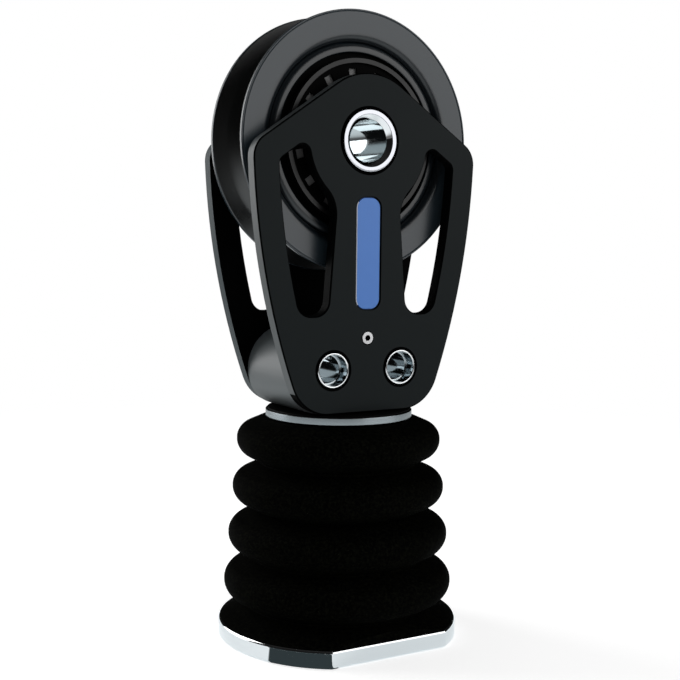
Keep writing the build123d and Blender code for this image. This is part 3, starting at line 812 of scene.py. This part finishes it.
# painted shade: the side grooves get the dull black of the cage's plates
refinish(wheel, "cage_plate_and_groove_shade", inSideGroove)
print("sheave ready")


# Other turned pieces. A face counts as a bore's within this of its radius
boreSlack = 0.01
sideOn = 0.5      # a normal with less than this along an axis stands sideways to it


def mirrored(corners):
    return corners + [(r, -along, bend) for r, along, bend in corners[::-1]]


axle = {"radius": 7.02, "bore": 4.9, "mouth": 5.95, "mouthDepth": 1.05, "half": 13.16, "boreBend": 0.06,
        "edge": 0.12, "faceTurn": 0.9, "steps": 160}
axleCorners = mirrored([
    (axle["bore"], axle["half"] - axle["mouthDepth"], axle["boreBend"]),
    (axle["mouth"], axle["half"], axle["edge"]),
    (axle["radius"], axle["half"], axle["edge"]),
])
tube = turnedPiece("axleTube", "axle_tube", [(axleCorners, (0, 0, 0))], axleCentre, (0, 1, 0), axle["steps"])
refinish(tube, "axle_face", lambda face: abs(face.normal.y) > axle["faceTurn"])
# painted shade inside the bore
refinish(tube, "axle_bore_painted_shade", lambda face: fromAxle(face) < (axle["bore"] + boreSlack) * mm)

rivet = {"radius": 4.05, "bore": 3.2, "mouth": 3.62, "mouthDepth": 3.0, "half": 12.98, "boreBend": 0.1,
         "edge": 0.16, "offset": 9.05, "steps": 128}
rivetCorners = mirrored([
    (rivet["bore"], rivet["half"] - rivet["mouthDepth"], rivet["boreBend"]),
    (rivet["mouth"], rivet["half"] - rivet["mouthDepth"], rivet["boreBend"]),
    (rivet["mouth"], rivet["half"], rivet["edge"]),
    (rivet["radius"], rivet["half"], rivet["edge"]),
])
rivetCentre = middle(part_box("head_rivets"))
rivetOffsets = [(side * rivet["offset"], 0, 0) for side in (-1, 1)]
rivets = turnedPiece("headRivets", "head_rivets", [(rivetCorners, offset) for offset in rivetOffsets],
                     rivetCentre, (0, 1, 0), rivet["steps"])


def fromRivet(face):
    # distance from the nearer rivet's line
    return min((face.center - rivetCentre - Vector(offset) * mm).xz.length for offset in rivetOffsets)


# painted shade inside the rivets' bores
refinish(rivets, "rivet_bore_painted_shade", lambda face: fromRivet(face) < (rivet["mouth"] + boreSlack) * mm)

hub = {"radius": 13.4, "bore": 7.04, "half": 9.9, "boreBend": 0.1, "edge": 0.2}
hubCorners = mirrored([
    (hub["bore"], hub["half"], hub["boreBend"]),
    (hub["radius"], hub["half"], hub["edge"]),
])
turnedPiece("bearingHub", "bearing_hub", [(hubCorners, (0, 0, 0))], axleCentre, (0, 1, 0))

roller = {"count": 15, "radius": 2.17, "circle": 15.6, "half": 7.2, "edge": 0.2, "steps": 48}
rollerCorners = mirrored([(0, roller["half"], 0), (roller["radius"], roller["half"], roller["edge"])])
rollerTurns = [2 * pi * index / roller["count"] for index in range(roller["count"])]
rollerPlaces = [(roller["circle"] * cos(turn), 0, roller["circle"] * sin(turn)) for turn in rollerTurns]
turnedPiece("bearingRollers", "rollers", [(rollerCorners, place) for place in rollerPlaces],
            axleCentre, (0, 1, 0), roller["steps"])


def discCorners(disc, box):
    bottom, top = (corner.z / mm for corner in box)
    return [(disc["bore"], bottom, 0), (disc["radius"], bottom, disc["edge"]),
            (disc["radius"], top, disc["edge"]), (disc["bore"], top, 0)]


collar = {"radius": 17.52, "bore": 5.02, "edge": 0.12, "steps": 192}
collarCorners = discCorners(collar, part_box("collar_plate"))
collarPlate = turnedPiece("collarPlate", "collar_plate", [(collarCorners, (0, 0, 0))],
                          Vector((0, 0, 0)), (0, 0, 1), collar["steps"])
refinish(collarPlate, "collar_steel", lambda face: abs(face.normal.z) < sideOn)
# painted shade: the collar's upward face, under the washer, is given the washer's black
refinish(collarPlate, "black_acetal", lambda face: face.normal.z >= sideOn)

washer = {"radius": 17.1, "bore": 5.02, "edge": 0.1, "steps": 160}
washerCorners = discCorners(washer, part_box("thrust_washer"))
turnedPiece("thrustWasher", "thrust_washer", [(washerCorners, (0, 0, 0))],
            Vector((0, 0, 0)), (0, 0, 1), washer["steps"])
print("turned pieces ready")


# Cheeks: black plates whose outer walls are painted lighter, as light falling on them, and whose windows and
# countersinks are painted dark as shade
cheek = {
    "wallTurn": 0.3,         # a wall's normal has less than this along the axle
    "faceTurn": 0.95,        # a flat face's has more than this
    "outlineSlack": 0.2,     # no point of the plate lies further outside an outer wall
    # the walls that face down below this height get painted shade
    "footTop": 62.0,         # below this the walls that face down are dark
    "downTurn": 0.5,
}


def isWall(face):
    return abs(face.normal.y) < cheek["wallTurn"]


def isSink(face):
    return cheek["wallTurn"] <= abs(face.normal.y) < cheek["faceTurn"]


def isFootWall(face):
    return isWall(face) and face.normal.z < -cheek["downTurn"] and face.center.z < cheek["footTop"] * mm


def paintWallLightAndShade(piece, litOuterFinish):
    # paints light on the outer walls, and shade on the window walls and countersinks
    points = np.array([vert.co for vert in piece.data.vertices])

    def isOuterWall(face):
        limit = face.center.dot(face.normal) + cheek["outlineSlack"] * mm
        return isWall(face) and (points @ np.array(face.normal)).max() < limit

    refinish(piece, "window_walls_painted_shade", isWall)
    refinish(piece, litOuterFinish, isOuterWall)
    refinish(piece, "painted_shade_black", isSink)


# Label: a bevel round its face, dark but for a painted highlight along its left side, where the rim catches
# the light
label = {
    "bevel": 0.15,
    "faceDepth": 0.01,       # vertices within this of the front lie on the face
    "rimAngle": 1.0,         # radians between the face and the label's side
    "faceTurn": 0.95,
    "lightSide": 0.6,
    "lightFront": 0.3,
}


def softenLabel(piece):
    bm = bmesh.new()
    bm.from_mesh(piece.data)
    front = min(vert.co.y for vert in bm.verts) + label["faceDepth"] * mm
    rim = [e for e in bm.edges
           if all(v.co.y < front for v in e.verts) and e.calc_face_angle(0) > label["rimAngle"]]
    bmesh.ops.bevel(bm, geom=rim, offset=label["bevel"] * mm, offset_type="OFFSET", segments=1,
                    profile=0.5, affect="EDGES", clamp_overlap=False, material=-1)
    bm.to_mesh(piece.data)
    bm.free()
    for polygon in piece.data.polygons:
        polygon.use_smooth = True
    piece.data.set_sharp_from_angle(angle=radians(tools["sharp"]))
    refinish(piece, "label_edge", lambda face: abs(face.normal.y) < label["faceTurn"])
    # painted highlight: the bevel faces turned left and forward are near-white
    refinish(piece, "label_painted_highlight", lambda face: face.normal.x < -label["lightSide"]
             and face.normal.y < -label["lightFront"])


# Pieces that keep the form of their solids, some with faces in other finishes or in painted light and shade
cage = {"darkRadius": 17.95}     # up to here the cage's plates are dull, and the rim outside it shines
copies = {
    "base_plate": "basePlate",
    "head_block": "headBlock",
    "front_cheek": "frontCheek",
    "rear_cheek": "rearCheek",
    "lock_screw": "lockScrew",
    "front_label": "frontLabel",
    "roller_cage": "rollerCage",
    "cage_front_plate": "cageFrontPlate",
    "stem": "swivelStem",
    "stem_nut": "stemNut",
    "nut_washer": "nutWasher",
    "stem_bush": "stemBush",
    "toggle_link": "toggleLink",
    "upper_pin": "upperPin",
    "upper_pin_clips": "upperPinClips",
    "lower_pin": "lowerPin",
    "lower_pin_clips": "lowerPinClips",
}
for node, name in copies.items():
    piece = smoothCopy(node, name)
    if node == "front_cheek":
        paintWallLightAndShade(piece, "cheek_walls_painted_light")
        # painted shade: the downward walls at the front cheek's foot are near-black
        refinish(piece, "painted_shade_black", isFootWall)
    elif node == "rear_cheek":
        paintWallLightAndShade(piece, "rear_walls_painted_light")
        # painted shade: the rear cheek's inner face, between the cheeks, is near-black
        refinish(piece, "painted_shade_black", lambda face: face.normal.y < -cheek["faceTurn"])    # inner face
    elif node == "front_label":
        softenLabel(piece)
    elif node == "lock_screw":
        # painted shade: the walls of the screw's socket are near-black
        refinish(piece, "painted_shade_black", lambda face: abs(face.normal.y) < sideOn)
    elif node in ("roller_cage", "cage_front_plate"):
        refinish(piece, "cage_plate_and_groove_shade", lambda face: fromAxle(face) < cage["darkRadius"] * mm)
print("pieces ready")
